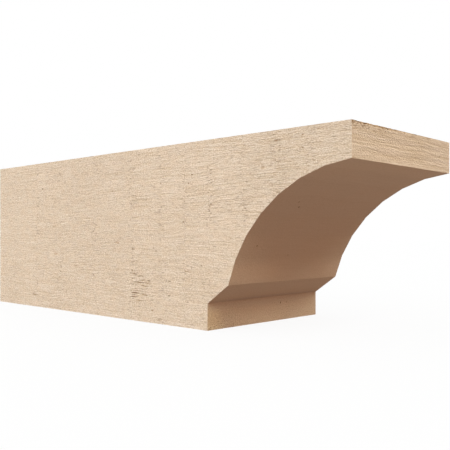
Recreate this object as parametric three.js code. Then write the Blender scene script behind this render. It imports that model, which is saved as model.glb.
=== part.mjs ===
// A rafter tail: the carved end of a square roof timber, with rough-sawn faces.
// It is one solid. Its side profile is a plain upright face at the tip, a deep cove cut in flats,
// a splay below the cove, and a square foot block in line with the timber's underside.
// Units are millimetres and +Z is up. The timber runs along X, with the carved end at +X,
// and the origin is under the middle of the timber, in the plane of its underside.
import * as THREE from "three";

// The timber
const LENGTH = 609.6; // from the sawn wall end to the tip, 24 in
const WIDTH = 203.2; // 8 in
const HEIGHT = 203.2; // 8 in

// The carved end, seen from the side
const TIP_HEIGHT = 33.8; // the plain upright face at the tip
const FOOT_SETBACK = 172.7; // from the tip back to the foot block's upright face
const FOOT_HEIGHT = 29.2; // that upright face
const SPLAY_RUN = 29.2; // level reach of the splay, from the foot block to the cove
const SPLAY_RISE = 20.8; // upright reach of the splay
const COVE_SWEEP = THREE.MathUtils.degToRad(70.7); // how far the whole cove turns
const COVE_FLATS = 7; // the cove is cut in this many equal flats

// The finish: unpainted tan, with no shine
const TAN = 0xdcc7af;
const SAWN_ROUGHNESS = 0.85;

// The corners of the carved end, as (x, z) points of the side profile.
const tipX = LENGTH / 2;
const footX = tipX - FOOT_SETBACK;
const lip = new THREE.Vector2(tipX, HEIGHT - TIP_HEIGHT);
const coveFoot = new THREE.Vector2(footX + SPLAY_RUN, FOOT_HEIGHT + SPLAY_RISE);

// The corners of the flats between two ends of a cove. They lie at equal steps on the one circle
// that passes through both ends and turns by sweep between them, with its centre right of the way
// from start to end, so that the cove is hollow on that side.
function coveCorners(start, end, sweep, flats) {
  const chord = end.clone().sub(start);
  const halfChord = chord.length() / 2;
  const radius = halfChord / Math.sin(sweep / 2);
  const towardsCentre = new THREE.Vector2(-chord.y, chord.x).normalize();
  const centre = start
    .clone()
    .add(end)
    .divideScalar(2)
    .addScaledVector(towardsCentre, halfChord / Math.tan(sweep / 2));
  const firstAngle = start.clone().sub(centre).angle();
  const corners = [];
  for (let i = 0; i <= flats; i++) {
    const angle = firstAngle + (sweep * i) / flats;
    corners.push(new THREE.Vector2(radius, 0).rotateAround(new THREE.Vector2(), angle).add(centre));
  }
  return corners;
}

// The side profile, from the underside at the wall end round to the top at the wall end.
function sideProfile() {
  return new THREE.Shape([
    new THREE.Vector2(-LENGTH / 2, 0),
    new THREE.Vector2(footX, 0),
    new THREE.Vector2(footX, FOOT_HEIGHT),
    ...coveCorners(lip, coveFoot, COVE_SWEEP, COVE_FLATS).reverse(),
    new THREE.Vector2(tipX, HEIGHT),
    new THREE.Vector2(-LENGTH / 2, HEIGHT),
  ]);
}

// The timber is the profile carried across its width, and stood upright.
function rafterTail() {
  const geometry = new THREE.ExtrudeGeometry(sideProfile(), {
    depth: WIDTH,
    bevelEnabled: false,
  });
  const material = new THREE.MeshStandardMaterial({
    color: TAN,
    roughness: SAWN_ROUGHNESS,
    metalness: 0,
  });
  const mesh = new THREE.Mesh(geometry, material);
  mesh.name = "rafter_tail";
  mesh.rotation.x = Math.PI / 2;
  mesh.position.y = WIDTH / 2;
  return mesh;
}

const part = new THREE.Group();
part.add(rafterTail());

export default part;
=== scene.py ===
"""Dresses a rafter tail: a rough-sawn skin over the plain timber, its finish, and a small studio."""

import logging
import math
from dataclasses import dataclass, field
from enum import Enum, IntEnum

import bpy
import numpy as np
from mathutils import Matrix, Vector


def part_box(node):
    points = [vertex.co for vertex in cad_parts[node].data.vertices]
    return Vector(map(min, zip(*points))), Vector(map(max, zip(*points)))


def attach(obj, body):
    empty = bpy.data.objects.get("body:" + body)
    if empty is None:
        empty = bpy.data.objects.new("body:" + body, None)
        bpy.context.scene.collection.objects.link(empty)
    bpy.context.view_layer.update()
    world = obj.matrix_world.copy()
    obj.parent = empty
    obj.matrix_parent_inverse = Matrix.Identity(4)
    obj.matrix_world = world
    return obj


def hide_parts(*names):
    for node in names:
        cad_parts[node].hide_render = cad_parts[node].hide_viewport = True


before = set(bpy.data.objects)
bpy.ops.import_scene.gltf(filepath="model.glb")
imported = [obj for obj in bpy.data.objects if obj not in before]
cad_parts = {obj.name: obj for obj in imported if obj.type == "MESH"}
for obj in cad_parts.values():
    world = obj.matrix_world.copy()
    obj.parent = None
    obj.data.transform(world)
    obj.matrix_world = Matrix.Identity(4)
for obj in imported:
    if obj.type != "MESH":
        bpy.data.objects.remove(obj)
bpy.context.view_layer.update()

MM = 0.001
NODE = "rafter_tail"

# Where the kerf lines cross the timber, in metres along it
KERFS = (-0.262, -0.200, -0.140, -0.066, 0.009, 0.060, 0.097, 0.135, 0.181, 0.224, 0.263)

Colour = tuple[float, float, float]
Triple = tuple[float, float, float]

log = logging.getLogger("rafter_tail")


class Run(IntEnum):
    """The faces that the outline of the side passes, in order from the wall end."""

    UNDERSIDE = 0
    CARVING = 1
    TIP = 2
    TOP = 3
    WALL_END = 4


class Face(IntEnum):
    """The kinds of face on the timber, in the order of the skin's materials."""

    SAWN = 0
    END = 1
    CARVED = 2

    @staticmethod
    def of(run: np.ndarray) -> np.ndarray:
        """The kind of face that each run of the outline has."""
        kinds = {Run.UNDERSIDE: Face.SAWN, Run.CARVING: Face.CARVED, Run.TOP: Face.SAWN}
        return np.array([kinds.get(each, Face.END) for each in Run])[run]


class Tone(Enum):
    """What a small mark leaves of each colour's light."""

    PIT = (0.46, 0.36, 0.26)
    NICK = (0.68, 0.59, 0.48)
    FAINT = (0.83, 0.77, 0.69)
    SMUDGE = (0.88, 0.83, 0.76)
    STAIN = (0.90, 0.82, 0.74)


def smooth_step(value: np.ndarray, low: float, high: float) -> np.ndarray:
    """Rises from 0 at low to 1 at high as 3t^2 - 2t^3.

    Args:
        value: what is compared with the two limits.
        low: where the rise begins.
        high: where it ends.

    Returns:
        The risen value, as an array of the same shape.
    """
    t = np.clip((value - low) / (high - low), 0.0, 1.0)
    return t * t * (3.0 - 2.0 * t)


def bell(distance: np.ndarray, width: float) -> np.ndarray:
    """A bell curve, exp(-(distance / width)^2)."""
    return np.exp(-((distance / width) ** 2))


@dataclass(frozen=True)
class LatticeNoise:
    """Smooth noise between random heights that stand on a lattice.

    Attributes:
        number: is added to the seed, so that no two noises of a face are alike.
        spans: how far apart the heights stand along and across the grain, in metres.
        height: how far the noise goes up and down.
        side: how many lattice points there are each way before the heights repeat.
    """

    number: int
    spans: tuple[float, float]
    height: float = 1.0
    side: int = 256

    def at(
        self, seed: int, along: np.ndarray, across: np.ndarray | float, shift: np.ndarray | float = 0.0
    ) -> np.ndarray:
        """Blends the four nearest lattice heights by 3t^2 - 2t^3 each way.

        Args:
            seed: the seed of the face.
            along: places along the grain, in metres.
            across: places across the grain.
            shift: moves the lattice both ways, in lattice steps.

        Returns:
            The noise at those places.
        """
        random = np.random.default_rng(seed + self.number)
        heights = random.uniform(-1.0, 1.0, (self.side, self.side))
        u, v = np.broadcast_arrays(along / self.spans[0] + shift, across / self.spans[1] + shift)
        column, row = np.floor(u), np.floor(v)
        right, up = smooth_step(u - column, 0.0, 1.0), smooth_step(v - row, 0.0, 1.0)
        i, j = column.astype(int) % self.side, row.astype(int) % self.side
        i2, j2 = (i + 1) % self.side, (j + 1) % self.side
        low = heights[i, j] * (1.0 - right) + heights[i2, j] * right
        high = heights[i, j2] * (1.0 - right) + heights[i2, j2] * right
        return self.height * (low * (1.0 - up) + high * up)


@dataclass(frozen=True)
class Patch:
    """A place on a face where the marks differ.

    Attributes:
        along: where its middle is along the grain, in metres.
        across: where its middle is across the grain.
        reach: half its length.
        rise: half its height.
        amount: how much it changes the marks.
    """

    along: float
    across: float
    reach: float
    rise: float
    amount: float

    def weight(self, along: np.ndarray, across: np.ndarray) -> np.ndarray:
        """A bell curve over the patch, with its amount in the middle."""
        return self.amount * bell(along - self.along, self.reach) * bell(across - self.across, self.rise)


def patched(patches: tuple[Patch, ...], along: np.ndarray, across: np.ndarray) -> np.ndarray | float:
    """The weights of some patches, added up."""
    return sum(patch.weight(along, across) for patch in patches)


@dataclass(frozen=True)
class Marks:
    """What a face carries at each of many places, as arrays of one shape.

    Attributes:
        depth: how deep the marks are cut, in metres.
        along: where each place is along the grain, in metres.
        level: where it is across the grain, with the grain's own bends taken in.
        torn: how much the fibres are torn, from 0 upwards.
        speckle: how coarse the face is, from 0 upwards.
    """

    depth: np.ndarray
    along: np.ndarray
    level: np.ndarray
    torn: np.ndarray
    speckle: np.ndarray

    NAMES = ("depth", "along", "level", "torn", "speckle")

    @classmethod
    def pick(cls, chooser: np.ndarray, choices: list["Marks"]) -> "Marks":
        """Takes each place's values from one of several marks.

        Args:
            chooser: the number of the marks to take, for each place.
            choices: the marks.

        Returns:
            The marks taken.
        """
        parts = {}
        for name in cls.NAMES:
            parts[name] = np.choose(chooser, [getattr(marks, name) for marks in choices])
        return cls(**parts)


@dataclass(frozen=True)
class SawnFace:
    """The saw's marks on a long face: level strokes that break off at the upright kerf lines.

    Attributes:
        seed: the seed of all the noise.
        strokes: depth of the level strokes.
        tears: extra depth where the fibres have torn.
        coarse: how coarse the whole face is.
        rough: patches with torn fibres.
        swirls: patches where the grain bends, with the amount as a height in metres.
        pebbled: patches that are coarser than the rest.
    """

    seed: int
    strokes: float = 0.12 * MM
    tears: float = 0.15 * MM
    coarse: float = 0.72
    rough: tuple[Patch, ...] = ()
    swirls: tuple[Patch, ...] = ()
    pebbled: tuple[Patch, ...] = ()

    # The kerf lines: how they sway, how far their tears and nicks reach, and their own groove
    SWAY = LatticeNoise(0, (22 * MM, 1.0), 1.5 * MM)
    PATCHY = LatticeNoise(5, (9 * MM, 13 * MM))
    TEAR_REACH = 6.5 * MM
    TEAR_LIMITS = (-0.7, 0.8)
    NICK_REACH = 2.6 * MM
    NICK_LIMITS = (-0.5, 0.6)
    GROOVE_WIDTH = 2.4 * MM
    GROOVE_DEPTH = 0.03 * MM

    # The grain: how it bends, its strokes and torn fibres, and how far a band's pattern is moved
    BENDS = (
        LatticeNoise(2, (55 * MM, 24 * MM), 2.2 * MM),
        LatticeNoise(7, (15 * MM, 8 * MM), 0.6 * MM),
    )
    STROKES = LatticeNoise(3, (26 * MM, 1.6 * MM))
    FIBRES = LatticeNoise(6, (9 * MM, 1.3 * MM))
    FIBRE_LIMITS = (0.25, 0.9)
    BAND_NUMBER = 1
    BAND_SHIFT = 61.0

    # The shares in which the wide noise, the kerf lines and the tears count
    WIDE = LatticeNoise(4, (40 * MM, 26 * MM))
    TORN_ALL = 0.32
    TORN_WIDE = 0.05
    TORN_BESIDE = 0.26
    TORN_AT_LINE = 0.45
    COARSE_WIDE = 0.12
    DEEP_ALL = 0.85
    DEEP_WIDE = 0.1
    DEEP_TORN = 0.35

    def marks(self, along: np.ndarray, across: np.ndarray) -> Marks:
        """Works out the marks.

        The strokes are noise that is stretched along the timber and starts afresh in each band
        between two kerf lines. Beside a kerf line, on it, and in the rough patches, the deepest
        strokes have torn. Each kerf line is also a shallow groove.

        Args:
            along: places along the timber, in metres.
            across: places across the face.

        Returns:
            The marks at those places, with no depth below 0.
        """
        lines = np.array(KERFS)
        place = along + self.SWAY.at(self.seed, across, 0.5)
        nearest = lines[np.argmin(np.abs(place[..., None] - lines), axis=-1)]
        off_line = place - nearest
        patchy = self.PATCHY.at(self.seed, nearest, across)
        beside = bell(off_line, self.TEAR_REACH) * smooth_step(patchy, *self.TEAR_LIMITS)
        at_line = bell(off_line, self.NICK_REACH) * smooth_step(patchy, *self.NICK_LIMITS)

        chances = np.random.default_rng(self.seed + self.BAND_NUMBER).uniform(0.0, 1.0, len(lines) + 1)
        shift = self.BAND_SHIFT * chances[np.searchsorted(lines, place)]
        bend = sum(noise.at(self.seed, along, across) for noise in self.BENDS)
        level = across + (bend + patched(self.swirls, along, across))
        strokes = self.STROKES.at(self.seed, along, level, shift)
        fibres = self.FIBRES.at(self.seed, along, level, shift)

        wide = self.WIDE.at(self.seed, along, across)
        torn = self.TORN_ALL + self.TORN_WIDE * wide + self.TORN_BESIDE * beside
        torn = torn + self.TORN_AT_LINE * at_line + patched(self.rough, along, across)
        coarse = self.coarse * (1.0 + self.COARSE_WIDE * wide) + patched(self.pebbled, along, across)
        deep = self.DEEP_ALL + self.DEEP_WIDE * wide + self.DEEP_TORN * torn
        depth = self.strokes * deep * (0.5 + 0.5 * strokes)
        depth = depth + self.tears * torn * smooth_step(fibres, *self.FIBRE_LIMITS)
        depth = depth + self.GROOVE_DEPTH * bell(off_line, self.GROOVE_WIDTH)
        return Marks(np.maximum(depth, 0.0), along + 0.0 * across, level, torn, coarse)


@dataclass(frozen=True)
class CrossFace:
    """The marks on a face that is cut across the timber: streaks from side to side.

    Attributes:
        seed: the seed of all the noise.
        streaks: depth of the streaks.
        coarse: how coarse the whole face is.
        pebbled: patches that are coarser than the rest.
        rough: patches with torn fibres.
    """

    seed: int
    streaks: float = 0.06 * MM
    coarse: float = 0.3
    pebbled: tuple[Patch, ...] = ()
    rough: tuple[Patch, ...] = ()

    # How the streaks bend, the two noises that they are made of, and how torn the whole face is
    BENDS = (
        LatticeNoise(0, (34 * MM, 14 * MM), 1.6 * MM),
        LatticeNoise(3, (11 * MM, 7 * MM), 0.5 * MM),
    )
    STREAKS = (
        LatticeNoise(1, (50 * MM, 2.6 * MM), 0.25),
        LatticeNoise(2, (12 * MM, 1.4 * MM), 0.25),
    )
    TORN_ALL = 0.1

    def marks(self, along: np.ndarray, across: np.ndarray) -> Marks:
        """Works out the marks: noise that is stretched from side to side.

        Args:
            along: places across the timber's width, in metres.
            across: places up the face.

        Returns:
            The marks at those places, with no depth below 0.
        """
        level = across + sum(noise.at(self.seed, along, across) for noise in self.BENDS)
        blank = 0.0 * level
        torn = self.TORN_ALL + blank + patched(self.rough, along, across)
        coarse = self.coarse + blank + patched(self.pebbled, along, across)
        streaks = sum(noise.at(self.seed, along, level) for noise in self.STREAKS)
        return Marks(self.streaks * (0.5 + streaks), along + blank, level, torn, coarse)


@dataclass(frozen=True)
class Relief:
    """The timber's relief: what marks each of its faces carries.

    Attributes:
        near: the side at -Y.
        far: the side at +Y.
        underside: the underside.
        top: the top.
        tip: the plain face at the tip.
        wall_end: the end that meets the wall.
        carving: the foot block's face, the splay and the cove.
    """

    near: SawnFace
    far: SawnFace
    underside: SawnFace
    top: SawnFace
    tip: CrossFace
    wall_end: CrossFace
    carving: CrossFace


@dataclass(frozen=True)
class CarvedProfile:
    """The timber seen from the side, in metres, with its length along x and its height along z.

    Attributes:
        length: from the wall end to the tip.
        height: from the underside to the top.
        tip_height: the plain upright face at the tip.
        foot_setback: from the tip back to the foot block's upright face.
        foot_height: that upright face.
        splay_run: level reach of the splay.
        splay_rise: upright reach of the splay.
        cove_sweep: how far the whole cove turns.
        cove_flats: how many equal flats the cove is cut in.
        column_step: widest column of the skin on the plain length.
        carved_step: longest step of the skin along the carving.
        row_step: tallest row of the skin.
        least_row: a row cut shorter than this share of row_step is joined to the next one.
    """

    length: float
    height: float
    tip_height: float = 33.8 * MM
    foot_setback: float = 172.7 * MM
    foot_height: float = 29.2 * MM
    splay_run: float = 29.2 * MM
    splay_rise: float = 20.8 * MM
    cove_sweep: float = math.radians(70.7)
    cove_flats: int = 7
    column_step: float = 5.0 * MM
    carved_step: float = 4.2 * MM
    row_step: float = 0.9 * MM
    least_row: float = 0.15

    @property
    def foot_x(self) -> float:
        """Where the foot block's upright face stands."""
        return self.length / 2 - self.foot_setback

    def cove_corners(self) -> np.ndarray:
        """The corners of the flats, from the foot of the cove up to the lip.

        They lie at equal steps on the circle that passes through both ends and turns by
        cove_sweep between them.

        Returns:
            One (x, z) row for each corner.
        """
        start = np.array([self.foot_x + self.splay_run, self.foot_height + self.splay_rise])
        end = np.array([self.length / 2, self.height - self.tip_height])
        chord = end - start
        half = np.hypot(*chord) / 2
        outward = np.array([chord[1], -chord[0]]) / (2 * half)
        centre = (start + end) / 2 + outward * half / math.tan(self.cove_sweep / 2)
        first = math.atan2(*(start - centre)[::-1])
        angles = first - self.cove_sweep * np.arange(self.cove_flats + 1) / self.cove_flats
        radius = half / math.sin(self.cove_sweep / 2)
        return centre + radius * np.stack([np.cos(angles), np.sin(angles)], axis=-1)

    @staticmethod
    def _divide(corners: np.ndarray, step: float) -> np.ndarray:
        """Divides each stretch of a chain into equal steps.

        Args:
            corners: one (x, z) row for each corner of the chain.
            step: the longest step.

        Returns:
            The rows of all the points, corners included.
        """
        rounding = 1e-6
        chain = []
        for start, end in zip(corners[:-1], corners[1:]):
            count = math.ceil(np.hypot(*(end - start)) / step - rounding)
            share = np.arange(count)[:, None] / count
            chain.append(start + (end - start) * share)
        return np.concatenate(chain + [corners[-1:]])

    def plain_columns(self) -> np.ndarray:
        """Where the columns stand along the plain length, up to the foot block's face."""
        ends = np.array([[-self.length / 2, 0.0], [self.foot_x, 0.0]])
        return self._divide(ends, self.column_step)[:, 0]

    def carved_edge(self) -> np.ndarray:
        """The splay and the cove as (x, z) rows, from the top of the foot block to the lip."""
        foot = np.array([[self.foot_x, self.foot_height]])
        return self._divide(np.concatenate([foot, self.cove_corners()]), self.carved_step)

    def rows(self) -> np.ndarray:
        """The heights of the rows, one of which is the top of the foot block."""
        ends = np.array([[0.0, 0.0], [0.0, self.foot_height], [0.0, self.height]])
        return self._divide(ends, self.row_step)[:, 1]


class SideGrid:
    """One side of the timber in triangles, with its edge as a closed ring of vertices."""

    def __init__(self, profile: CarvedProfile) -> None:
        """Lays out the grid.

        Its columns and rows are cut off along the carving, where the last point of each column
        moves on to the profile.

        Args:
            profile: the timber seen from the side.
        """
        rows = profile.rows()
        plain = profile.plain_columns()
        carved = profile.carved_edge()[1:]
        columns = np.concatenate([plain, carved[:, 0]])
        lower = np.concatenate([np.zeros(len(plain)), carved[:, 1]])
        self.corner = len(plain) - 1
        self.foot = int(np.argmin(np.abs(rows - profile.foot_height)))
        past = np.arange(len(columns)) > self.corner
        above = rows[None, :] > lower[:, None] + profile.least_row * profile.row_step
        edge = np.where(past, np.maximum(np.argmax(above, axis=1) - 1, 0), 0)
        heights = np.broadcast_to(rows, (len(columns), len(rows))).copy()
        heights[past, edge[past]] = lower[past]
        across = np.broadcast_to(columns[:, None], heights.shape)
        everything = np.stack([across, heights], axis=-1).reshape(-1, 2)
        clamped = np.maximum(np.arange(len(rows))[None, :], edge[:, None])
        numbers = clamped + np.arange(len(columns))[:, None] * len(rows)
        cells = self._cells(numbers)
        ring, self.run = self._edge(numbers, edge)
        used, compact = np.unique(np.concatenate([cells.ravel(), ring]), return_inverse=True)
        self.places = everything[used]
        self.cells = compact[: cells.size].reshape(-1, 3)
        self.ring = compact[cells.size :]
        self.outline = self.places[self.ring]
        steps = np.hypot(*np.diff(self.outline, axis=0, append=self.outline[:1]).T)
        self.round = steps.sum()
        self.travel = np.concatenate([[0.0], np.cumsum(steps)[:-1]])

    def _cells(self, numbers: np.ndarray) -> np.ndarray:
        """Splits the grid's cells in two and leaves out the halves that have no area.

        The cells right of the foot block start at its top, as that is where the profile leaves it.

        Args:
            numbers: the vertex number of every grid point.

        Returns:
            Three vertex numbers for each triangle.
        """
        left, right = numbers[:-1].copy(), numbers[1:]
        left[self.corner] = np.maximum(left[self.corner], left[self.corner, self.foot])
        corners = [left[:, :-1], right[:, :-1], right[:, 1:], left[:, 1:]]
        quads = np.stack(corners, axis=-1).reshape(-1, 4)
        halves = np.concatenate([quads[:, [0, 1, 2]], quads[:, [0, 2, 3]]])
        a, b, c = halves.T
        return halves[(a != b) & (b != c) & (c != a)]

    def _edge(self, numbers: np.ndarray, edge: np.ndarray) -> tuple[np.ndarray, np.ndarray]:
        """Follows the side's edge, from the wall end along the underside and round to the top.

        Args:
            numbers: the vertex number of every grid point.
            edge: the row at which each column starts.

        Returns:
            The vertex number of each point of the edge, and the run that follows it.
        """
        last, top = len(numbers) - 1, numbers.shape[1] - 1
        parts = [
            (numbers[: self.corner, 0], Run.UNDERSIDE),
            (numbers[self.corner, : self.foot + 1], Run.CARVING),
            (numbers[self.corner + 1 : last, 0], Run.CARVING),
            (numbers[last, edge[last] : top], Run.TIP),
            (numbers[last:0:-1, top], Run.TOP),
            (numbers[0, top:0:-1], Run.WALL_END),
        ]
        runs = [np.full(len(points), int(run)) for points, run in parts]
        return np.concatenate([points for points, _ in parts]), np.concatenate(runs)


@dataclass
class Skin:
    """The timber's rough-sawn skin as one closed mesh.

    The two sides are alike as grids. The ring of points round a side is carried across to the
    other side in equal stations. Every mark goes inwards, so the skin stays in the solid's box.

    Attributes:
        profile: the timber seen from the side.
        width: from side to side.
        relief: the marks on every face.
        stations: how many steps the ring takes from side to side.
        arris_depth: how deep the top arris of the tip has torn.
        arris_height: how far down the tip those tears reach.
        arris_torn: how much torn fibre they show.
        arris_seed: the seed of their noise.
        sharp_angle: arrises that turn by more than this are sharp.
        grid: one side in triangles.
    """

    profile: CarvedProfile
    width: float
    relief: Relief
    stations: int = 72
    arris_depth: float = 0.3 * MM
    arris_height: float = 1.6 * MM
    arris_torn: float = 1.4
    arris_seed: int = 91
    sharp_angle: float = math.radians(30)
    grid: SideGrid = field(init=False)

    # The tears of the tip's top arris: their noise, how much of it shows, what is taken as the
    # tip, how much of them is left at the far side, and how far past the middle that goes
    RAGGED = LatticeNoise(0, (3.1 * MM, 1.4 * MM))
    RAGGED_LIMITS = (-0.1, 0.9)
    TIP_REACH = 1.5 * MM
    FAR_SHARE = 0.3
    FAR_REACH = 20 * MM

    def __post_init__(self) -> None:
        """Lays out the side's grid."""
        self.grid = SideGrid(self.profile)

    def _arris_tears(self, x: np.ndarray, y: np.ndarray, z: np.ndarray) -> np.ndarray:
        """How torn each place is by the tears of the tip's top arris, which grow towards -Y.

        Args:
            x: places along the timber, in metres.
            y: places across its width.
            z: places up its height.

        Returns:
            From 0 to 1 for each place.
        """
        at_tip = x > self.profile.length / 2 - self.TIP_REACH
        at_top = bell(self.profile.height - z, self.arris_height)
        ragged = smooth_step(self.RAGGED.at(self.arris_seed, y, z), *self.RAGGED_LIMITS)
        nearer = smooth_step(-y, -self.FAR_REACH, self.width / 2)
        return at_tip * at_top * ragged * (self.FAR_SHARE + (1.0 - self.FAR_SHARE) * nearer)

    def _ring_marks(self, run: np.ndarray, travel: np.ndarray) -> Marks:
        """The marks on the faces between the two sides.

        Args:
            run: the run of the outline that each point is taken to lie on.
            travel: each point's way round the outline.

        Returns:
            The marks by point of the ring and station.
        """
        outline = self.grid.outline
        blank = np.zeros((len(outline), self.stations + 1))
        y = blank + np.linspace(-self.width / 2, self.width / 2, self.stations + 1)
        x, z, way = outline[:, :1] + blank, outline[:, 1:] + blank, travel[:, None] + blank
        choices = [None] * len(Run)
        choices[Run.UNDERSIDE] = self.relief.underside.marks(x, y)
        choices[Run.CARVING] = self.relief.carving.marks(y, way)
        choices[Run.TIP] = self.relief.tip.marks(y, z)
        choices[Run.TOP] = self.relief.top.marks(x, y)
        choices[Run.WALL_END] = self.relief.wall_end.marks(y, z)
        marks = Marks.pick(run[:, None] + np.zeros_like(blank, dtype=int), choices)
        tears = self._arris_tears(x, y, z)
        depth = marks.depth + self.arris_depth * tears
        return Marks(depth, marks.along, marks.level, marks.torn + self.arris_torn * tears, marks.speckle)

    def _inward(self, own: Marks, before: Marks) -> np.ndarray:
        """How far each ring point moves in from the outline, as (x, z) steps.

        Along a face a point moves square to the outline. At an arris it moves in from both faces.

        Args:
            own: the marks of the face after each point.
            before: the marks of the face before it.

        Returns:
            Steps by ring point and station.
        """
        ahead = np.roll(self.grid.outline, -1, axis=0) - self.grid.outline
        outwards = np.stack([ahead[:, 1], -ahead[:, 0]], axis=-1) / np.hypot(*ahead.T)[:, None]
        outwards_before = np.roll(outwards, 1, axis=0)
        middle = outwards + outwards_before
        middle = middle / np.linalg.norm(middle, axis=-1, keepdims=True)
        together = middle[:, None, :] * own.depth[..., None]
        apart = outwards[:, None, :] * own.depth[..., None]
        apart = apart + outwards_before[:, None, :] * before.depth[..., None]
        same = (self.grid.run == np.roll(self.grid.run, 1))[:, None, None]
        return -np.where(same, together, apart)

    @staticmethod
    def _around(own: np.ndarray, following: np.ndarray) -> np.ndarray:
        """Gathers the four corners of every quad of the ring, in the order that faces outwards."""
        corners = [own[:, :-1], own[:, 1:], following[:, 1:], following[:, :-1]]
        return np.stack(corners, axis=-1).reshape(-1, 4)

    def build(self) -> bpy.types.Object:
        """Builds the mesh.

        Returns:
            The finished object, at the origin, with its three material slots still empty.
        """
        grid, half, last = self.grid, self.width / 2, self.stations
        size, count = len(grid.places), len(grid.ring)
        x, z = grid.places.T
        near, far = self.relief.near.marks(x, z), self.relief.far.marks(x, z)
        travel_before = np.where(grid.travel == 0.0, grid.round, grid.travel)
        own = self._ring_marks(grid.run, grid.travel)
        before = self._ring_marks(np.roll(grid.run, 1), travel_before)
        inward = self._inward(own, before)

        sides = np.stack([x, near.depth - half, z, x, half - far.depth, z]).reshape(2, 3, size)
        sides = sides.transpose(0, 2, 1).copy()
        sides[0][grid.ring[:, None], [0, 2]] += inward[:, 0]
        sides[1][grid.ring[:, None], [0, 2]] += inward[:, last]
        y = np.broadcast_to(half * (2.0 * np.arange(1, last) / last - 1.0), (count, last - 1))
        middle = grid.outline[:, None, :] + inward[:, 1:last]
        between = np.stack([middle[..., 0], y, middle[..., 1]], axis=-1).reshape(-1, 3)

        table = np.empty((count, last + 1), dtype=int)
        table[:, 0] = grid.ring
        table[:, last] = grid.ring + size
        table[:, 1:last] = 2 * size + np.arange(between.shape[0]).reshape(count, last - 1)
        quads = self._around(table, np.roll(table, -1, axis=0))
        turned = grid.cells[:, ::-1]
        triangles = np.concatenate([grid.cells, turned + size])
        side_kinds = np.full(len(triangles), int(Face.SAWN))
        kinds = np.concatenate([side_kinds, np.repeat(Face.of(grid.run), last)])
        corner_marks = {}
        for name in Marks.NAMES:
            following = np.roll(getattr(before, name), -1, axis=0)
            parts = [getattr(near, name)[grid.cells], getattr(far, name)[turned]]
            parts.append(self._around(getattr(own, name), following))
            corner_marks[name] = np.concatenate([part.ravel() for part in parts])
        vertices = np.concatenate([*sides, between])
        return self._mesh(vertices, triangles, quads, kinds, Marks(**corner_marks))

    def _mesh(
        self,
        vertices: np.ndarray,
        triangles: np.ndarray,
        quads: np.ndarray,
        kinds: np.ndarray,
        marks: Marks,
    ) -> bpy.types.Object:
        """Puts the arrays into a mesh whose arrises are sharp.

        Args:
            vertices: one (x, y, z) row for each vertex.
            triangles: the sides' faces.
            quads: the faces between the sides.
            kinds: the material slot of every face, triangles first.
            marks: the marks at every corner of every face.

        Returns:
            The object that holds the mesh.
        """
        mesh = bpy.data.meshes.new("timber_skin")
        loops = np.concatenate([triangles.ravel(), quads.ravel()]).astype(np.int32)
        totals = np.concatenate([np.full(len(triangles), 3), np.full(len(quads), 4)])
        starts = np.concatenate([[0], np.cumsum(totals)[:-1]]).astype(np.int32)
        mesh.vertices.add(len(vertices))
        mesh.loops.add(len(loops))
        mesh.polygons.add(len(totals))
        mesh.vertices.foreach_set("co", vertices.astype(np.float32).ravel())
        mesh.loops.foreach_set("vertex_index", loops)
        mesh.polygons.foreach_set("loop_start", starts)
        mesh.polygons.foreach_set("material_index", kinds.astype(np.int32))
        grain = (marks.along, marks.level, np.zeros(len(loops)))
        wear = (marks.depth / MM, marks.torn, marks.speckle)
        for name, parts in (("grain", grain), ("wear", wear)):
            layer = mesh.attributes.new(name, "FLOAT_VECTOR", "CORNER")
            layer.data.foreach_set("vector", np.stack(parts, axis=-1).astype(np.float32).ravel())
        mesh.update(calc_edges=True)
        mesh.validate()
        mesh.shade_smooth()
        mesh.set_sharp_from_angle(angle=self.sharp_angle)
        skin = bpy.data.objects.new("timber_skin", mesh)
        bpy.context.scene.collection.objects.link(skin)
        log.info("timber_skin: %d faces, %d vertices", len(totals), len(vertices))
        return skin


class Wire:
    """A shader socket that takes part in Python sums."""

    def __init__(self, tree: "FinishTree", socket: bpy.types.NodeSocket) -> None:
        """Keeps the tree that the socket belongs to."""
        self.tree = tree
        self.socket = socket

    def __add__(self, other: "Wire | float") -> "Wire":
        """Adds."""
        return self.tree.sum("ADD", self, other)

    def __sub__(self, other: "Wire | float") -> "Wire":
        """Takes away."""
        return self.tree.sum("SUBTRACT", self, other)

    def __rsub__(self, other: float) -> "Wire":
        """Takes this from a number."""
        return self.tree.sum("SUBTRACT", other, self)

    def __mul__(self, other: "Wire | float") -> "Wire":
        """Multiplies."""
        return self.tree.sum("MULTIPLY", self, other)

    __radd__ = __add__
    __rmul__ = __mul__


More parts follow.
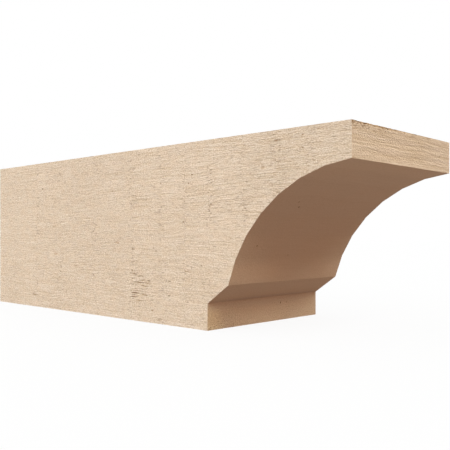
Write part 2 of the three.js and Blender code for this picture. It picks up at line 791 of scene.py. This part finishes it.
class FinishTree:
    """The nodes of one material or world, added by plain calls."""

    # How far a noise's shift moves it along x, y and z
    SHIFT_WAY = (1.0, 1.7, 2.3)

    def __init__(self, owner: bpy.types.ID) -> None:
        """Starts with an empty tree.

        Args:
            owner: the material or world that holds the tree.
        """
        owner.use_nodes = True
        self.tree = owner.node_tree
        self.tree.nodes.clear()

    def node(
        self, kind: str, settings: dict | None = None, inputs: dict | None = None
    ) -> bpy.types.Node:
        """Adds a node.

        Args:
            kind: the node's type.
            settings: its own settings, with "stops" for the places and colours of a ramp.
            inputs: values or wires by the name or number of the socket.

        Returns:
            The node.
        """
        made = self.tree.nodes.new(kind)
        for name, value in (settings or {}).items():
            if name == "stops":
                self._set_stops(made.color_ramp, value)
            else:
                setattr(made, name, value)
        for name, value in (inputs or {}).items():
            socket = made.inputs[name]
            if isinstance(value, Wire):
                self.tree.links.new(value.socket, socket)
            elif isinstance(value, tuple) and socket.type == "RGBA":
                socket.default_value = (*value, 1.0)
            else:
                socket.default_value = value
        return made

    @staticmethod
    def _set_stops(ramp: bpy.types.ColorRamp, stops: list[tuple[float, Colour]]) -> None:
        """Gives a ramp its stops, each of which holds up to the next.

        Args:
            ramp: the ramp.
            stops: the place and colour of each stop.
        """
        ramp.interpolation = "CONSTANT"
        while len(ramp.elements) > 1:
            ramp.elements.remove(ramp.elements[-1])
        ramp.elements[0].position = stops[0][0]
        ramp.elements[0].color = (*stops[0][1], 1.0)
        for place, colour in stops[1:]:
            ramp.elements.new(place).color = (*colour, 1.0)

    def wire(self, node: bpy.types.Node, output: str | int = 0) -> Wire:
        """One output of a node."""
        return Wire(self, node.outputs[output])

    def sum(self, operation: str, a: Wire | float, b: Wire | float) -> Wire:
        """A Math node on two values."""
        return self.wire(self.node("ShaderNodeMath", {"operation": operation}, {0: a, 1: b}))

    def blend(
        self, factor: Wire | float, a: Wire | Colour, b: Wire | Colour, way: str = "MIX"
    ) -> Wire:
        """Mixes two colours.

        Args:
            factor: how much of the second colour is used.
            a: the first colour.
            b: the second colour.
            way: how the second colour is laid on the first.

        Returns:
            The mixed colour.
        """
        settings = {"data_type": "RGBA", "blend_type": way, "clamp_factor": False}
        node = self.node("ShaderNodeMix", settings, {"Factor": factor, 6: a, 7: b})
        return self.wire(node, 2)

    def tinted(self, factor: Wire | float, colour: Wire | Colour, tint: Wire | Colour) -> Wire:
        """Multiplies a colour by a tint, as far as the factor says."""
        return self.blend(factor, colour, tint, "MULTIPLY")

    def step(
        self, value: Wire, low: float, high: float, to_low: float = 0.0, to_high: float = 1.0
    ) -> Wire:
        """Rises smoothly between two limits.

        Args:
            value: what is compared with the limits.
            low: where the rise begins.
            high: where it ends.
            to_low: what it gives at low.
            to_high: what it gives at high.

        Returns:
            The risen value.
        """
        limits = {"Value": value, 1: low, 2: high, 3: to_low, 4: to_high}
        settings = {"interpolation_type": "SMOOTHSTEP"}
        return self.wire(self.node("ShaderNodeMapRange", settings, limits))

    def place(self) -> Wire:
        """Object coordinates, in metres."""
        return self.wire(self.node("ShaderNodeTexCoord"), "Object")

    def own(self, name: str) -> Wire:
        """A vector that the mesh holds under a name."""
        return self.wire(self.node("ShaderNodeAttribute", {"attribute_name": name}), "Vector")

    def parts(self, vector: Wire) -> tuple[Wire, Wire, Wire]:
        """The three numbers of a vector."""
        node = self.node("ShaderNodeSeparateXYZ", None, {0: vector})
        return self.wire(node, 0), self.wire(node, 1), self.wire(node, 2)

    def vector(self, parts: dict[int, Wire]) -> Wire:
        """A vector made of the numbers given for its x, y and z."""
        return self.wire(self.node("ShaderNodeCombineXYZ", None, parts))

    def mapped(self, vector: Wire, location: Triple, scale: Triple) -> Wire:
        """A vector that is scaled and then moved."""
        inputs = {"Vector": vector, "Location": location, "Scale": scale}
        return self.wire(self.node("ShaderNodeMapping", {"vector_type": "POINT"}, inputs))

    def noise(self, vector: Wire, spans: Triple, shift: float, detail: float = 0.0) -> Wire:
        """Noise from 0 to 1 whose lumps are spans long along x, y and z, in millimetres.

        Args:
            vector: where the noise is read, in metres.
            spans: the length of its lumps along each axis.
            shift: moves the pattern, so that two readings differ.
            detail: how many finer layers it has.

        Returns:
            The noise.
        """
        scale = tuple(1.0 / (MM * span) for span in spans)
        spread = self.mapped(vector, tuple(shift * way for way in self.SHIFT_WAY), scale)
        inputs = {"Vector": spread, "Scale": 1.0, "Detail": detail, "Roughness": 0.5}
        return self.wire(self.node("ShaderNodeTexNoise", {"noise_dimensions": "3D"}, inputs), 0)


@dataclass(frozen=True)
class Spot:
    """One mark on a face: a hole, a stain, a broader change of tone, or painted light and shade.

    Attributes:
        place: its middle, in millimetres.
        size: its radius along x, y and z, in millimetres.
        left: the share of each colour's light that it leaves, over 1 where it is lighter.
        sunk: how deep it looks, in millimetres.
    """

    place: Triple
    size: Triple
    left: Colour
    sunk: float = 0.45


@dataclass(frozen=True)
class TimberFinish:
    """One kind of face's look: its colour, mottles, streaks, torn dashes, specks and spots.

    Attributes:
        name: the material's name.
        colour: the base colour, linear.
        warm: a tint for some mottles, as a share of the base colour.
        cool: a tint for the other mottles.
        shade: what the darkest marks leave of each colour's light.
        mottle_spans: length of the mottles in millimetres, along x, y and z.
        streak_spans: length of the streaks along and across the grain.
        streak_dark: how much darker a streak is than the gap beside it.
        streak_height: how high a streak stands, in millimetres.
        strand_spans: length of the short strands along and across the grain.
        strand_dark: how much darker a strand is than the gap beside it.
        strand_height: how high a strand stands, in millimetres.
        dash_shade: what a whole torn dash leaves of each colour's light.
        dash_dark: how much of that shade the torn dashes have.
        dash_depth: how deep a torn dash is, in millimetres.
        speck_spans: length of the specks in millimetres, along x, y and z.
        speck_dark: how much darker a speck is.
        speck_height: how high a speck stands, in millimetres.
        hollow_dust_and_shade: how much darker the face is in its deepest marks, partly dust and partly
            painted shade in those hollows.
        roughness: how dull the face is.
        specular: how much it shines.
        kerfs: where the kerf lines cross the timber, if they do.
        spots: the holes, stains and shades.
    """

    name: str
    colour: Colour
    warm: Colour = (1.005, 0.995, 0.982)
    cool: Colour = (0.995, 1.003, 1.014)
    shade: Colour = (0.46, 0.30, 0.0)
    mottle_spans: Triple = (16.0, 10.0, 8.0)
    streak_spans: tuple[float, float] = (50.0, 1.3)
    streak_dark: float = 0.44
    streak_height: float = 0.42
    strand_spans: tuple[float, float] = (10.0, 1.3)
    strand_dark: float = 0.32
    strand_height: float = 0.55
    dash_shade: Colour = (0.48, 0.38, 0.29)
    dash_dark: float = 0.85
    dash_depth: float = 0.40
    speck_spans: Triple = (1.8, 1.4, 1.1)
    speck_dark: float = 2.0
    speck_height: float = 1.05
    hollow_dust_and_shade: float = 0.04
    roughness: float = 0.85
    specular: float = 0.12
    kerfs: tuple[float, ...] = ()
    spots: tuple[Spot, ...] = ()

    # What all faces share: lengths in millimetres, and limits of rises
    GRAIN_THICKNESS = 5.0
    DASH_SPANS = (5.5, 1.1, GRAIN_THICKNESS)
    DASH_LIMITS = (0.58, 0.72)
    HOLLOW_LIMITS = (0.03, 0.22)
    MOTTLE_LIMITS = (0.35, 0.65)
    SPOT_SWAY = 2.0
    SPOT_SWAY_SPANS = (9.0, 9.0, 5.0)
    SPOT_LIMITS = (0.4, 1.25)

    # The bands between kerf lines: how the lines sway in millimetres, and in metres the length
    # that the ramp covers and how far a band's grain is moved
    KERF_SWAY = 4.0
    KERF_SWAY_SPANS = (400.0, 22.0, 10.0)
    BAND_SEED = 5
    BAND_MOVES = (0.9, 0.4, 0.3)
    RAMP_REACH = 0.8

    def _grain(self, tree: FinishTree) -> Wire:
        """The grain's own coordinates, which start afresh between two kerf lines.

        Each band between two lines has its own shift, from a stepped ramp that is longer than
        the timber, so that it covers every band.

        Args:
            tree: the material's nodes.

        Returns:
            Coordinates in metres, along the grain and then across it.
        """
        grain = tree.own("grain")
        if not self.kerfs:
            return grain
        along, level, _ = tree.parts(grain)
        wander = tree.noise(grain, self.KERF_SWAY_SPANS, shift=3.1) * (self.KERF_SWAY * MM)
        chances = np.random.default_rng(self.BAND_SEED).uniform(0.0, 1.0, len(self.kerfs) + 1)
        stops = [(0.0, (chances[0],) * 3)]
        for line, chance in zip(self.kerfs, chances[1:]):
            stops.append((line / self.RAMP_REACH + 0.5, (chance,) * 3))
        share = (along + wander) * (1.0 / self.RAMP_REACH) + 0.5
        ramp = tree.node("ShaderNodeValToRGB", {"stops": stops}, {0: share})
        band, _, _ = tree.parts(tree.wire(ramp))
        x, y, z = self.BAND_MOVES
        return tree.vector({0: along + band * x, 1: level + band * y, 2: band * z})

    def _face(self, tree: FinishTree, place: Wire) -> tuple[Wire, Wire]:
        """Works out the face without its spots.

        Streaks, strands and torn dashes are noise along the grain, and specks and mottles are
        noise without a direction. The mesh's "wear" vector holds the depth of its marks in
        millimetres, how much the fibres are torn, and how coarse the face is.

        Args:
            tree: the material's nodes.
            place: object coordinates.

        Returns:
            The colour, and the height in millimetres.
        """
        grain = self._grain(tree)
        hollow, torn, coarse = tree.parts(tree.own("wear"))
        streak_spans = (*self.streak_spans, self.GRAIN_THICKNESS)
        strand_spans = (*self.strand_spans, self.GRAIN_THICKNESS)
        streak = tree.noise(grain, streak_spans, shift=2.1) - 0.5
        strand = tree.noise(grain, strand_spans, shift=7.7, detail=1.0) - 0.5
        dash = tree.step(tree.noise(grain, self.DASH_SPANS, shift=6.3), *self.DASH_LIMITS) * torn
        speck = (tree.noise(place, self.speck_spans, shift=4.4, detail=1.0) - 0.5) * coarse
        mottle = tree.noise(place, self.mottle_spans, shift=1.3, detail=1.0)
        # Darker in the deepest marks: partly dust, partly painted shade in those hollows
        dark = tree.step(hollow, *self.HOLLOW_LIMITS, 0.0, self.hollow_dust_and_shade)
        dark = dark - streak * self.streak_dark - strand * self.strand_dark
        dark = dark - speck * self.speck_dark
        height = streak * self.streak_height + strand * self.strand_height
        height = height + speck * self.speck_height - dash * self.dash_depth
        tint = tree.blend(tree.step(mottle, *self.MOTTLE_LIMITS), self.cool, self.warm)
        shade = tree.blend(dark, (1.0, 1.0, 1.0), self.shade)
        colour = tree.tinted(1.0, self.colour, tree.tinted(1.0, tint, shade))
        return tree.tinted(dash * self.dash_dark, colour, self.dash_shade), height

    def _spotted(self, tree: FinishTree, place: Wire, colour: Wire, height: Wire) -> tuple[Wire, Wire]:
        """Lays the spots on the colour and sinks them into the height.

        Each is an ellipsoid with a soft edge, swayed a little up and down so that it isn't straight.

        Args:
            tree: the material's nodes.
            place: object coordinates.
            colour: the colour without them.
            height: the height without them, in millimetres.

        Returns:
            The colour and the height with them.
        """
        sway = (tree.noise(place, self.SPOT_SWAY_SPANS, shift=9.2) - 0.5) * (self.SPOT_SWAY * MM)
        both = {0: place, 1: tree.vector({2: sway})}
        swayed = tree.wire(tree.node("ShaderNodeVectorMath", {"operation": "ADD"}, both))
        for spot in self.spots:
            scale = tuple(1.0 / (MM * span) for span in spot.size)
            location = tuple(-middle / span for middle, span in zip(spot.place, spot.size))
            moved = tree.mapped(swayed, location, scale)
            away = tree.node("ShaderNodeVectorMath", {"operation": "LENGTH"}, {0: moved})
            inside = tree.step(tree.wire(away, "Value"), *self.SPOT_LIMITS, 1.0, 0.0)
            colour = tree.tinted(inside, colour, spot.left)
            height = height - inside * spot.sunk
        return colour, height

    def material(self) -> bpy.types.Material:
        """Makes the material.

        Returns:
            A material on Object coordinates and the skin's own "grain" and "wear".
        """
        material = bpy.data.materials.new(self.name)
        tree = FinishTree(material)
        place = tree.place()
        colour, height = self._face(tree, place)
        colour, height = self._spotted(tree, place, colour, height)
        bump = tree.node("ShaderNodeBump", None, {"Strength": 1.0, "Distance": MM, "Height": height})
        surface = {
            "Base Color": colour,
            "Roughness": self.roughness,
            "Specular IOR Level": self.specular,
            "Normal": tree.wire(bump),
        }
        shader = tree.node("ShaderNodeBsdfPrincipled", None, surface)
        tree.node("ShaderNodeOutputMaterial", None, {"Surface": tree.wire(shader)})
        return material


@dataclass(frozen=True)
class DomeLayer:
    """The light between one elevation and the next, seen from the timber.

    Attributes:
        start: the elevation at which it begins, in degrees.
        tip: its colour towards +X.
        front: its colour towards -Y.
        back: its colour towards +Y.
        turn: the share of +X in the direction at which the tip's colour takes over.
        spread: half the width of that change.
    """

    start: float
    tip: Colour
    front: Colour
    back: Colour
    turn: float = 0.4
    spread: float = 0.1

    def colour(self, tree: FinishTree, x: Wire, behind: Wire) -> Wire:
        """The layer's colour in each direction.

        Args:
            tree: the world's nodes.
            x: the share of +X in the direction.
            behind: 0 towards -Y and 1 towards +Y.

        Returns:
            The colour.
        """
        ahead = tree.step(x, self.turn - self.spread, self.turn + self.spread)
        return tree.blend(ahead, tree.blend(behind, self.front, self.back), self.tip)


@dataclass(frozen=True)
class Studio:
    """A plain pale floor, soft light from all round and a camera.

    Attributes:
        camera_place: where the camera stands.
        camera_aim: the direction in which it looks.
        camera_shift: how far its frame is moved, as shares of the width.
        camera_reach: the nearest and farthest distance that it shows.
        lens: its focal length in millimetres.
        sensor: the width of its sensor in millimetres.
        floor_reach: half the floor's width.
        floor_glow: how bright the floor is without a shadow.
        floor_grey: its colour where it takes light and shadow.
        floor_matte: the share of that in its look.
        dome: the light, from straight below upwards.
        layer_spread: half the width of the change between two parts of the dome.
        side_spread: half the width of the change between its front and its back.
    """

    camera_place: Triple = (0.6026, -0.6042, 0.1016)
    camera_aim: Triple = (-1.0, 1.0, 0.0)
    camera_shift: tuple[float, float] = (0.0864, 0.0229)
    camera_reach: tuple[float, float] = (0.01, 60.0)
    lens: float = 51.81
    sensor: float = 36.0
    floor_reach: float = 12.0
    floor_glow: float = 0.99
    floor_grey: float = 0.9
    floor_matte: float = 0.08
    dome: tuple[DomeLayer, ...] = (
        DomeLayer(-90, (0.24, 0.173, 0.158), (0.54, 0.42, 0.36), (0.54, 0.42, 0.36), 0.0, 0.2),
        DomeLayer(0, (0.52, 0.285, 0.175), (2.07, 2.09, 2.07), (1.15, 1.26, 1.35)),
        DomeLayer(35, (4.15, 4.15, 3.78), (1.05, 1.08, 1.09), (1.05, 1.08, 1.09)),
        DomeLayer(45, (3.50, 3.65, 3.65), (0.56, 0.61, 0.64), (0.56, 0.61, 0.64)),
        DomeLayer(65, (0.22, 0.22, 0.23), (0.22, 0.22, 0.23), (0.22, 0.22, 0.23)),
    )
    layer_spread: float = 0.02
    side_spread: float = 0.1

    def light(self) -> None:
        """Lights the scene from a soft dome, dim and warm low down and brighter above."""
        world = bpy.data.worlds.new("studio_dome")
        bpy.context.scene.world = world
        tree = FinishTree(world)
        way = tree.wire(tree.node("ShaderNodeTexCoord"), "Generated")
        x, y, up = tree.parts(way)
        behind = tree.step(y, -self.side_spread, self.side_spread)
        lowest, *higher = self.dome
        colour = lowest.colour(tree, x, behind)
        for layer in higher:
            edge = math.sin(math.radians(layer.start))
            risen = tree.step(up, edge - self.layer_spread, edge + self.layer_spread)
            colour = tree.blend(risen, colour, layer.colour(tree, x, behind))
        seen = tree.wire(tree.node("ShaderNodeLightPath"), "Is Camera Ray")
        shown = tree.blend(seen, colour, (1.0, 1.0, 1.0))
        back = tree.node("ShaderNodeBackground", None, {"Color": shown, "Strength": 1.0})
        tree.node("ShaderNodeOutputWorld", None, {"Surface": tree.wire(back)})

    def floor(self) -> bpy.types.Object:
        """Lays the floor, which shows a faint shadow and throws no light back.

        Returns:
            The floor.
        """
        reach = self.floor_reach
        ways = ((-1, -1), (1, -1), (1, 1), (-1, 1))
        mesh = bpy.data.meshes.new("floor")
        mesh.from_pydata([(reach * x, reach * y, 0.0) for x, y in ways], [], [(0, 1, 2, 3)])
        floor = bpy.data.objects.new("floor", mesh)
        bpy.context.scene.collection.objects.link(floor)
        material = bpy.data.materials.new("pale_floor")
        tree = FinishTree(material)
        shining = {"Color": (1.0, 1.0, 1.0), "Strength": self.floor_glow}
        glow = tree.node("ShaderNodeEmission", None, shining)
        matte = tree.node("ShaderNodeBsdfDiffuse", None, {"Color": (self.floor_grey,) * 3})
        both = {0: self.floor_matte, 1: tree.wire(glow), 2: tree.wire(matte)}
        mixed = tree.node("ShaderNodeMixShader", None, both)
        tree.node("ShaderNodeOutputMaterial", None, {"Surface": tree.wire(mixed)})
        mesh.materials.append(material)
        floor.visible_diffuse = False
        floor.visible_glossy = False
        floor.visible_transmission = False
        floor.visible_shadow = False
        return floor

    def camera(self) -> bpy.types.Object:
        """Sets up the camera.

        Returns:
            The camera.
        """
        data = bpy.data.cameras.new("studio_camera")
        data.lens = self.lens
        data.sensor_width = self.sensor
        data.shift_x, data.shift_y = self.camera_shift
        data.clip_start, data.clip_end = self.camera_reach
        camera = bpy.data.objects.new("studio_camera", data)
        camera.location = self.camera_place
        camera.rotation_mode = "QUATERNION"
        camera.rotation_quaternion = Vector(self.camera_aim).to_track_quat("-Z", "Y")
        bpy.context.scene.collection.objects.link(camera)
        bpy.context.scene.camera = camera
        return camera

    def set_up(self) -> None:
        """Builds the whole studio and sets plain colour management."""
        self.light()
        self.floor()
        self.camera()
        settings = bpy.context.scene.view_settings
        settings.view_transform = "Standard"
        settings.look = "None"
        settings.exposure = 0.0
        settings.gamma = 1.0
        log.info("studio: floor, dome and camera")


@dataclass(frozen=True)
class RafterTail:
    """The whole rafter tail.

    The marks that the photo shows one by one are listed in millimetres.

    Attributes:
        length: the timber's length in metres.
        width: its width.
        height: its height.
        spot_depth: how far into the timber a mark on a face reaches, in millimetres.
        speck_sunk: how deep a speck on the tip looks, in millimetres.
    """

    length: float
    width: float
    height: float
    spot_depth: float = 3.0
    speck_sunk: float = 0.25

    def relief(self) -> Relief:
        """The marks on every face.

        Returns:
            The marks, with the near side's rough patches where the photo shows them.
        """
        near = SawnFace(
            seed=11,
            rough=(Patch(0.027, 0.040, 0.026, 0.020, 0.20),),
            swirls=(Patch(0.070, 0.110, 0.016, 0.014, 5 * MM),),
            pebbled=(Patch(-0.30, 0.10, 0.28, 0.30, 0.50), Patch(0.20, 0.15, 0.12, 0.10, -0.10)),
        )
        tip = CrossFace(
            seed=71,
            streaks=0.12 * MM,
            coarse=0.55,
            pebbled=(Patch(-0.10, 0.20, 0.10, 0.03, 0.25),),
            rough=(Patch(-0.09, 0.202, 0.05, 0.005, 0.8), Patch(0.0, 0.203, 0.12, 0.004, 0.4)),
        )
        carving = CrossFace(
            seed=81,
            streaks=0.02 * MM,
            coarse=0.38,
            pebbled=(
                Patch(-0.10, 0.440, 0.05, 0.020, 2.6),
                Patch(-0.10, 0.510, 0.03, 0.030, 0.4),
                Patch(0.10, 0.505, 0.03, 0.020, 0.3),
                Patch(0.03, 0.446, 0.12, 0.018, 1.0),
            ),
        )
        return Relief(
            near=near,
            far=SawnFace(seed=31, pebbled=(Patch(0.20, 0.18, 0.12, 0.05, 0.3),)),
            underside=SawnFace(seed=51),
            top=SawnFace(seed=61),
            tip=tip,
            wall_end=CrossFace(seed=75, streaks=0.08 * MM, coarse=0.6),
            carving=carving,
        )

    def side_spots(self) -> tuple[Spot, ...]:
        """The near side's marks, and two broad shades.

        Returns:
            The pits, nicks and stains at the kerf lines and in the rough patch, then the shades.
        """
        marks = (
            (-186.0, 167.0, 2.6, 1.3, Tone.PIT),
            (-199.0, 131.0, 3.0, 0.8, Tone.FAINT),
            (-206.0, 17.0, 9.0, 0.9, Tone.NICK),
            (-153.0, 76.0, 5.0, 1.8, Tone.STAIN),
            (-156.0, 113.5, 4.0, 0.8, Tone.FAINT),
            (-105.5, 61.0, 4.5, 0.9, Tone.NICK),
            (-20.0, 92.5, 5.5, 1.5, Tone.STAIN),
            (59.0, 160.5, 1.3, 1.0, Tone.NICK),
            (109.0, 167.5, 1.3, 0.9, Tone.PIT),
            (103.5, 158.5, 1.0, 1.0, Tone.PIT),
            (47.0, 86.5, 1.0, 0.9, Tone.PIT),
            (123.0, 69.0, 1.7, 0.8, Tone.PIT),
            (44.5, 14.5, 2.8, 0.9, Tone.NICK),
            (206.5, 167.5, 3.0, 1.9, Tone.SMUDGE),
            (253.5, 183.0, 1.6, 1.0, Tone.NICK),
            (253.5, 195.0, 1.4, 1.0, Tone.NICK),
            (11.5, 56.0, 4.5, 0.7, Tone.PIT),
            (24.0, 53.0, 10.0, 0.6, Tone.NICK),
            (28.0, 49.0, 6.0, 0.6, Tone.NICK),
            (39.0, 49.0, 3.0, 0.7, Tone.PIT),
            (20.0, 46.0, 13.0, 0.7, Tone.PIT),
            (37.0, 45.7, 6.0, 0.7, Tone.NICK),
            (73.5, 49.7, 2.6, 0.8, Tone.PIT),
            (31.0, 42.0, 8.0, 0.6, Tone.NICK),
            (20.0, 35.5, 14.0, 0.6, Tone.NICK),
            (15.0, 32.5, 9.0, 0.8, Tone.PIT),
            (31.0, 32.0, 9.0, 0.6, Tone.NICK),
            (12.0, 28.5, 7.0, 0.7, Tone.PIT),
            (22.0, 24.5, 10.0, 0.6, Tone.NICK),
            (73.0, 33.5, 2.6, 0.8, Tone.PIT),
        )
        shades = (
            (270.0, 170.0, 120.0, 70.0, (0.935, 0.935, 0.93)),
            (-270.0, 120.0, 170.0, 150.0, (1.045, 1.05, 1.05)),
        )
        near, deep = -self.width / 2 / MM, self.spot_depth
        spots = [Spot((x, near, z), (rx, deep, rz), tone.value) for x, z, rx, rz, tone in marks]
        broad = [Spot((x, near, z), (rx, deep, rz), left, 0.0) for x, z, rx, rz, left in shades]
        return (*spots, *broad)

    def tip_spots(self) -> tuple[Spot, ...]:
        """The tip's specks, a thin darker line along its top arris, and its level bands.

        Returns:
            The lines and specks along the top arris, then the shades, darker and lighter.
        """
        marks = (
            # A thin darker line along the top arris
            (-60.0, 202.9, 60.0, 1.4, Tone.NICK),
            (40.0, 203.0, 70.0, 1.1, Tone.FAINT),
            (-99.8, 201.9, 1.8, 1.0, Tone.PIT),
            (-96.3, 201.0, 1.6, 0.7, Tone.NICK),
            (-91.8, 200.6, 1.9, 0.8, Tone.PIT),
            (-86.6, 201.0, 1.8, 0.7, Tone.PIT),
            (-80.2, 201.4, 1.9, 0.7, Tone.NICK),
            (-73.1, 201.5, 1.6, 0.7, Tone.NICK),
            (-62.1, 202.1, 3.0, 0.5, Tone.NICK),
            (-47.2, 201.7, 1.5, 0.7, Tone.NICK),
            (-41.5, 198.8, 1.1, 0.7, Tone.PIT),
            (-38.0, 200.9, 1.2, 0.8, Tone.PIT),
            (-36.9, 198.6, 0.9, 0.7, Tone.NICK),
            (-29.0, 201.2, 1.3, 0.7, Tone.NICK),
            (-11.5, 201.9, 2.2, 0.6, Tone.NICK),
            (-3.2, 201.9, 2.4, 0.6, Tone.NICK),
            (19.1, 202.5, 5.0, 0.5, Tone.NICK),
            (27.3, 194.8, 1.0, 0.8, Tone.NICK),
            (76.1, 185.0, 1.0, 0.7, Tone.PIT),
            (-21.7, 176.3, 1.5, 0.7, Tone.FAINT),
        )
        shades = (
            (-10.0, 192.5, 110.0, 3.5, (0.93, 0.925, 0.935)),
            (0.0, 199.0, 110.0, 2.6, (0.95, 0.945, 0.95)),
            (0.0, 180.5, 120.0, 3.0, (0.945, 0.94, 0.945)),
            (85.0, 186.0, 50.0, 40.0, (0.965, 0.965, 0.98)),
            (-25.0, 186.0, 45.0, 40.0, (1.03, 1.03, 1.04)),
        )
        tip, deep, sunk = self.length / 2 / MM, self.spot_depth, self.speck_sunk
        specks = [Spot((tip, y, z), (deep, ry, rz), tone.value, sunk) for y, z, ry, rz, tone in marks]
        bands = [Spot((tip, y, z), (deep, ry, rz), left, 0.0) for y, z, ry, rz, left in shades]
        return (*specks, *bands)

    def carving_spots(self) -> tuple[Spot, ...]:
        """The pinholes of the cove and foot block, and the painted light and shade on them.

        Returns:
            The pinholes, then the broad patches, lighter and darker: painted light and shade, and a faint
            darker patch low on the foot.
        """
        holes = (
            (218.4, -58.0, 135.4, Tone.NICK),
            (212.8, -50.0, 130.8, Tone.PIT),
            (179.0, -76.5, 90.5, Tone.NICK),
            (172.7, -14.5, 79.7, Tone.FAINT),
            (132.1, 26.8, 20.9, Tone.PIT),
            (132.1, 37.9, 20.1, Tone.FAINT),
        )
        shades = (
            # Painted light where the front light reaches the foot's near end, partly also the pebbled
            # patch's own paler, yellower tone
            Spot((132.1, -101.6, 6.0), (5.0, 26.0, 20.0), (1.16, 1.17, 1.07), 0.0),
            # Painted light at the cove's near and far edges, where light from the sides reaches under the
            # overhang
            Spot((167.0, -70.0, 60.0), (11.0, 52.0, 13.0), (1.08, 1.065, 1.05), 0.0),
            Spot((167.0, 98.0, 60.0), (11.0, 30.0, 13.0), (1.07, 1.08, 1.10), 0.0),
            # Painted shade along the top of the foot block, under the splay
            Spot((132.1, 0.0, 30.5), (5.0, 130.0, 12.0), (0.90, 0.90, 0.94), 0.0),
            # A faint darker, browner patch low on the foot's near half
            Spot((132.1, -55.0, 12.0), (5.0, 40.0, 16.0), (0.975, 0.95, 0.93), 0.0),
        )
        hole_size = (1.4, 1.2, 1.0)
        pinholes = [Spot((x, y, z), hole_size, tone.value) for x, y, z, tone in holes]
        return (*pinholes, *shades)

    def finishes(self) -> tuple[TimberFinish, ...]:
        """The looks of the three kinds of face.

        Returns:
            The finishes, in the order of Face.
        """
        sawn = TimberFinish(
            "sawn_face", (0.831, 0.701, 0.549), kerfs=KERFS, spots=self.side_spots()
        )
        end = TimberFinish(
            "end_face",
            (0.86, 0.719, 0.530),
            warm=(0.965, 0.955, 0.94),
            cool=(1.03, 1.032, 1.035),
            mottle_spans=(60.0, 95.0, 3.6),
            streak_spans=(60.0, 2.0),
            streak_dark=0.65,
            streak_height=0.28,
            strand_spans=(16.0, 1.6),
            strand_dark=0.35,
            strand_height=0.28,
            speck_spans=(1.4, 1.6, 1.2),
            speck_dark=1.4,
            hollow_dust_and_shade=0.12,
            spots=self.tip_spots(),
        )
        # The carved faces' base colour is darker and browner than the sawn one: partly the cut faces' own
        # tone, partly painted shade of the cove and foot under the overhang
        carved = TimberFinish(
            "carved_face",
            (0.73, 0.575, 0.40),
            warm=(1.005, 0.998, 0.99),
            cool=(0.996, 1.001, 1.004),
            mottle_spans=(30.0, 40.0, 30.0),
            streak_spans=(60.0, 2.0),
            streak_dark=0.08,
            streak_height=0.04,
            strand_dark=0.04,
            strand_height=0.03,
            dash_dark=0.05,
            dash_depth=0.05,
            speck_spans=(1.6, 1.6, 1.3),
            speck_dark=0.75,
            speck_height=0.60,
            hollow_dust_and_shade=0.12,
            spots=self.carving_spots(),
        )
        return sawn, end, carved

    def skin(self) -> bpy.types.Object:
        """Builds the skin, hangs it from the root body and hides the plain solid part under it.

        Returns:
            The skin.
        """
        profile = CarvedProfile(self.length, self.height)
        skin = Skin(profile, self.width, self.relief()).build()
        for finish in self.finishes():
            skin.data.materials.append(finish.material())
        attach(skin, "root")
        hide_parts(NODE)
        return skin


def main() -> None:
    """Builds the rafter tail and its studio."""
    logging.basicConfig(level=logging.INFO, format="%(message)s")
    low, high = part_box(NODE)
    size = high - low
    RafterTail(size.x, size.y, size.z).skin()
    Studio().set_up()


if __name__ == "__main__":
    main()
